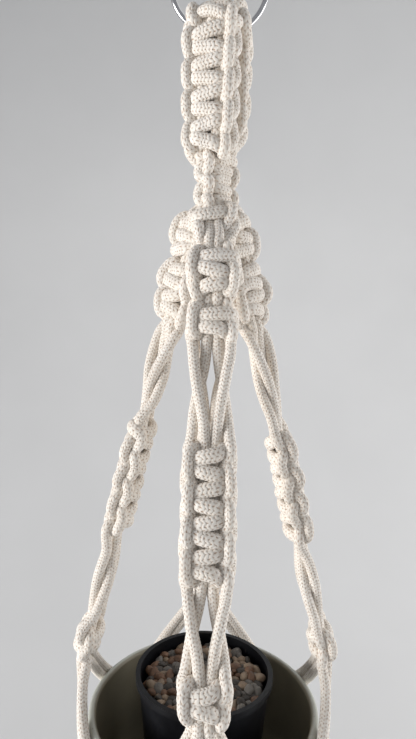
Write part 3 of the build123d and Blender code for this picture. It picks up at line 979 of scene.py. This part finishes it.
class Shader:
    """A small helper for one node material."""

    def __init__(self, name):
        self.material = bpy.data.materials.new(name)
        self.material.use_nodes = True
        self.nodes = self.material.node_tree.nodes
        self.links = self.material.node_tree.links
        self.surface = self.nodes["Principled BSDF"]

    def finish(self, **values):
        """Sets the surface's sockets, each to a value or linked to a node, and gives the material."""
        for name, value in values.items():
            socket = self.surface.inputs[name.replace("_", " ")]
            if isinstance(value, bpy.types.NodeSocket):
                self.link(value, socket)
            else:
                socket.default_value = value
        return self.material

    def link(self, source, target):
        self.links.new(source, target)
        return source

    def place(self):
        return self.nodes.new("ShaderNodeTexCoord").outputs["Object"]

    def moved(self, distance):
        """Object coordinates shifted sideways, for a noise of its own."""
        node = self.nodes.new("ShaderNodeVectorMath")
        node.inputs[1].default_value = (distance, distance, distance)
        self.link(self.place(), node.inputs[0])
        return node.outputs["Vector"]

    def from_axis(self):
        """Distance from the upright axis."""
        split = self.nodes.new("ShaderNodeSeparateXYZ")
        self.link(self.place(), split.inputs["Vector"])
        return self.length(*split.outputs[:2])

    def length(self, x, y):
        """The length of a vector with two parts."""
        return self.math("SQRT", self.math("ADD", self.math("POWER", x, 2.0), self.math("POWER", y, 2.0)))

    def noise(self, scale, detail=3.0, roughness=0.5, vector=None):
        node = self.nodes.new("ShaderNodeTexNoise")
        node.inputs["Scale"].default_value = scale
        node.inputs["Detail"].default_value = detail
        node.inputs["Roughness"].default_value = roughness
        self.link(vector or self.place(), node.inputs["Vector"])
        return node.outputs["Fac"]

    def ramp(self, factor, stops):
        node = self.nodes.new("ShaderNodeValToRGB")
        ramp = node.color_ramp
        while len(ramp.elements) < len(stops):
            ramp.elements.new(0.5)
        for element, (position, colour) in zip(ramp.elements, stops):
            element.position = position
            element.color = (*colour, 1)
        self.link(factor, node.inputs["Fac"])
        return node.outputs["Color"]

    def mix(self, factor, first, second):
        node = self.nodes.new("ShaderNodeMix")
        node.data_type = "RGBA"
        for value, name in ((factor, "Factor"), (first, "A"), (second, "B")):
            socket = node.inputs[name]
            if isinstance(value, bpy.types.NodeSocket):
                self.link(value, socket)
            elif isinstance(value, tuple):
                socket.default_value = (*value, 1)
            else:
                socket.default_value = value
        return node.outputs["Result"]

    def range(self, value, low, high, new_low=0.0, new_high=1.0):
        node = self.nodes.new("ShaderNodeMapRange")
        for name, limit in zip(("From Min", "From Max", "To Min", "To Max"), (low, high, new_low, new_high)):
            node.inputs[name].default_value = limit
        self.link(value, node.inputs["Value"])
        return node.outputs["Result"]

    def attribute(self, name, output=None):
        """One output of an attribute, or the three parts of a vector attribute."""
        node = self.nodes.new("ShaderNodeAttribute")
        node.attribute_name = name
        if output:
            return node.outputs[output]
        split = self.nodes.new("ShaderNodeSeparateXYZ")
        self.link(node.outputs["Vector"], split.inputs["Vector"])
        return split.outputs

    def math(self, operation, *values):
        node = self.nodes.new("ShaderNodeMath")
        node.operation = operation
        for value, socket in zip(values, node.inputs):
            if isinstance(value, bpy.types.NodeSocket):
                self.link(value, socket)
            else:
                socket.default_value = value
        return node.outputs["Value"]

    def bump(self, height, strength, distance, normal=None):
        node = self.nodes.new("ShaderNodeBump")
        node.inputs["Strength"].default_value = strength
        node.inputs["Distance"].default_value = distance
        self.link(height, node.inputs["Height"])
        if normal is not None:
            self.link(normal, node.inputs["Normal"])
        return node.outputs["Normal"]


def stitch_masks(shader):
    """How near a point is to a gap between stitches, and to the line between two columns: 0 to 1. The cotton
    paints shade into both and bumps with both.
    """
    across, over, along = shader.attribute("weave")
    turn = shader.math("DIVIDE", shader.math("ARCTAN2", over, across), 2 * math.pi / STITCHES_AROUND)
    wander = shader.range(shader.noise(420, 2), 0.3, 0.7, -0.17, 0.17)
    slip = shader.range(shader.noise(360, 2, vector=shader.moved(0.4)), 0.3, 0.7, -0.55, 0.55)
    along = shader.math("ADD", along, slip)
    column = shader.math("ADD", shader.math("ADD", turn, wander), STITCHES_AROUND)
    zigzag = shader.math("PINGPONG", column, 1.0)
    edge = shader.math("PINGPONG", column, 0.5)
    phase = shader.math("MULTIPLY_ADD", zigzag, STITCH_SLANT, shader.math("DIVIDE", along, STITCH_LENGTH))
    line = shader.math("PINGPONG", phase, 0.5)
    reach = shader.math("DIVIDE", edge, 0.16)
    thin = shader.math("DIVIDE", line, 0.25)
    far = shader.length(reach, thin)
    # how open each hole is: it scales both the bump and the painted shade in the hole
    open_gap = shader.range(shader.noise(300, 2, vector=shader.moved(0.9)), 0.35, 0.60, 0.55, 1.0)
    gap = shader.math("MULTIPLY", shader.range(far, 1.4, 0.4), open_gap)
    seam = shader.range(line, 0.22, 0.0)
    return gap, seam


def cotton_material():
    """Undyed knitted cotton cord: cream, with painted brown shade in the holes between stitches and painted
    tan shade along the seams between columns, with fine fibres.
    """
    shader = Shader("cotton")
    tone = shader.attribute("tone", "Fac")
    gap, seam = stitch_masks(shader)
    cream = shader.ramp(shader.noise(60, 4), [(0.3, (0.82, 0.76, 0.68)), (0.7, (0.90, 0.855, 0.79))])
    cord = shader.mix(shader.range(tone, 0, 1, 0, 0.4), cream, (0.85, 0.79, 0.70))
    # painted shade: the seams between stitch columns are painted tan
    seam_shaded = shader.mix(shader.math("MULTIPLY", seam, 0.30), cord, (0.66, 0.50, 0.36))
    # painted shade: the holes between stitches are painted dark brown
    hole_shaded = shader.mix(shader.math("MULTIPLY", gap, 0.88), seam_shaded, (0.40, 0.235, 0.125))
    fibres = shader.noise(2600, 4, 0.7)
    colour = shader.mix(shader.range(fibres, 0.35, 0.7, 0, 0.10), hole_shaded, (0.97, 0.95, 0.92))
    depth = shader.math("MAXIMUM", gap, shader.math("MULTIPLY", seam, 0.5))
    weave = shader.bump(shader.math("SUBTRACT", 1.0, depth), 0.7, 0.0006)
    return shader.finish(Base_Color=colour, Roughness=shader.range(fibres, 0.3, 0.7, 0.82, 0.95),
                         Normal=shader.bump(fibres, 0.3, 0.0004, weave),
                         Sheen_Weight=0.25, Sheen_Roughness=0.5, Specular_IOR_Level=0.25)


def steel_material():
    """Polished nickel-plated wire with faint drawing marks and handling haze."""
    shader = Shader("ring_steel")
    haze = shader.noise(180, 5, 0.6)
    return shader.finish(Base_Color=shader.ramp(haze, [(0.3, (0.55, 0.55, 0.56)), (0.8, (0.72, 0.72, 0.73))]),
                         Roughness=shader.range(haze, 0.3, 0.7, 0.14, 0.27),
                         Normal=shader.bump(shader.noise(1500, 2), 0.08, 0.0001), Metallic=1.0)


def ceramic_material():
    """Matt stoneware glaze: pale grey-green outside, with painted shade inside, where the inner wall is
    painted dark brown; paler on its sharp edges, with iron specks.
    """
    shader = Shader("pot_ceramic")
    cloud = shader.noise(22, 5, 0.6)
    outer = shader.ramp(cloud, [(0.3, (0.40, 0.41, 0.36)), (0.7, (0.52, 0.53, 0.475))])
    # painted shade: the inside of the pot is painted dark brown, far darker than the outside glaze
    inner = shader.ramp(cloud, [(0.3, (0.20, 0.178, 0.125)), (0.7, (0.27, 0.245, 0.178))])
    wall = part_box("cachepot")[1].x
    glaze_shaded_inside = shader.mix(shader.range(shader.from_axis(), wall - 0.0042, wall - 0.0030), inner, outer)
    edge = shader.nodes.new("ShaderNodeNewGeometry").outputs["Pointiness"]
    # lighter colour on sharp edges such as the rim
    paled_edges = shader.mix(shader.range(edge, 0.53, 0.58, 0, 0.7), glaze_shaded_inside, (0.62, 0.60, 0.53))
    specks = shader.range(shader.noise(900, 2, 0.5), 0.68, 0.74)
    return shader.finish(Base_Color=shader.mix(specks, paled_edges, (0.16, 0.12, 0.08)),
                         Roughness=shader.range(cloud, 0.3, 0.7, 0.38, 0.55),
                         Normal=shader.bump(shader.noise(140, 4, 0.6), 0.12, 0.0006),
                         Coat_Weight=0.15, Coat_Roughness=0.3)


def plastic_material():
    """Black moulded polypropylene: fine spark texture, faint scuffs and dust."""
    shader = Shader("pot_plastic")
    dust = shader.noise(35, 6, 0.65)
    black = shader.ramp(dust, [(0.35, (0.003, 0.003, 0.004)), (0.75, (0.008, 0.009, 0.012))])
    return shader.finish(Base_Color=black, Roughness=shader.range(dust, 0.3, 0.7, 0.32, 0.5),
                         Normal=shader.bump(shader.noise(1800, 2), 0.15, 0.0002), Specular_IOR_Level=0.22)


def soil_material():
    """Dark potting soil."""
    shader = Shader("fill_soil")
    grain = shader.noise(420, 8, 0.7)
    brown = shader.ramp(grain, [(0.35, (0.012, 0.008, 0.005)), (0.7, (0.07, 0.045, 0.028))])
    return shader.finish(Base_Color=brown, Normal=shader.bump(grain, 0.8, 0.002), Roughness=0.95)


PEBBLE_COLOURS = {
    "brown": ((0.075, 0.036, 0.018), (0.21, 0.115, 0.065)),
    "tan": ((0.13, 0.088, 0.055), (0.37, 0.275, 0.19)),
    "grey": ((0.075, 0.068, 0.06), (0.23, 0.21, 0.185)),
    "dark": ((0.018, 0.014, 0.011), (0.07, 0.058, 0.045)),
}


def pebble_material(kind):
    """Washed pebble, veined and mottled."""
    shader = Shader(f"pebble_{kind}")
    dark, light = PEBBLE_COLOURS[kind]
    one, two, _ = shader.attribute("weave")
    mottle = shader.noise(260, 6, 0.65)
    stone = shader.ramp(mottle, [(0.3, dark), (0.72, light)])
    each = shader.mix(shader.range(one, 0, 1, 0, 0.55), stone, light)
    return shader.finish(Base_Color=shader.mix(shader.range(two, 0, 1, 0, 0.45), each, dark),
                         Roughness=shader.range(mottle, 0.3, 0.7, 0.38, 0.62),
                         Normal=shader.bump(shader.noise(700, 6, 0.65), 0.6, 0.0007))


def plain_material(name, colour, roughness):
    """A studio surface: painted, with a trace of unevenness."""
    shader = Shader(name)
    drift = shader.noise(3, 2)
    dim = tuple(0.97 * channel for channel in colour)
    return shader.finish(Base_Color=shader.ramp(drift, [(0.3, dim), (0.7, colour)]), Roughness=roughness)


def finish_nodes():
    """Materials on the CAD parts that show as they are."""
    for node, material in (("hanging_ring", "steel"), ("cachepot", "ceramic"), ("liner_pot", "plastic"),
                           ("soil_plug", "soil")):
        slots = frame["nodes"][node].data.materials
        slots.clear()
        slots.append(MATERIALS[material])


# ---------------------------------------------------------------- studio

def build_studio():
    """A pale floor far below that sweeps up into a pale wall, and soft light."""
    reach, back, low, high, bend = 14.0, 2.2, -1.25, 8.0, 1.4
    profile = [(-reach, low)]
    for step in range(25):
        angle = math.pi / 2 * step / 24
        profile.append((back - bend + bend * math.sin(angle), low + bend - bend * math.cos(angle)))
    profile.append((back, high))
    vertices = [(x, y, z) for y, z in profile for x in (-reach, reach)]
    faces = [(2 * i, 2 * i + 1, 2 * i + 3, 2 * i + 2) for i in range(len(profile) - 1)]
    mesh = bpy.data.meshes.new("studio")
    mesh.from_pydata(vertices, [], faces)
    mesh.polygons.foreach_set("use_smooth", [True] * len(faces))
    mesh.materials.append(MATERIALS["studio"])
    studio = bpy.data.objects.new("studio_sweep", mesh)
    bpy.context.scene.collection.objects.link(studio)
    bpy.context.scene.view_settings.view_transform = "Standard"
    world = bpy.data.worlds.new("world")
    bpy.context.scene.world = world
    world.use_nodes = True
    background = world.node_tree.nodes["Background"]
    background.inputs["Color"].default_value = (0.93, 0.95, 1.0, 1)
    background.inputs["Strength"].default_value = 0.36
    for name, place, aim, size, power, colour in (
            ("key", (-1.85, -0.68, -0.42), (0, 0, -0.65), 1.0, 43, (1.0, 0.99, 0.99)),
            ("fill", (1.8, 0.1, -0.5), (0, 0, -0.6), 1.3, 24, (1.0, 0.99, 0.99)),
            ("back", (0.6, 1.2, 1.1), (0, 0, -0.5), 1.2, 4, (1.0, 0.985, 0.97)),
            ("wall", (2.6, 0.4, 0.9), (1.4, 2.2, 0.6), 1.2, 22, (1.0, 1.0, 1.0))):
        light = bpy.data.lights.new(name, "AREA")
        light.size = size
        light.energy = power
        light.color = colour
        obj = bpy.data.objects.new(name, light)
        obj.location = place
        obj.rotation_euler = (Vector(aim) - Vector(place)).to_track_quat("-Z", "Y").to_euler()
        bpy.context.scene.collection.objects.link(obj)


MATERIALS = {
    "cotton": cotton_material(),
    "steel": steel_material(),
    "ceramic": ceramic_material(),
    "plastic": plastic_material(),
    "soil": soil_material(),
    "studio": plain_material("studio", (0.67, 0.67, 0.665), 0.9),
    **{f"pebble_{kind}": pebble_material(kind) for kind in PEBBLE_COLOURS},
}

make_camera()
build_tassel()
build_hanger()
build_pebbles()
finish_nodes()
build_studio()
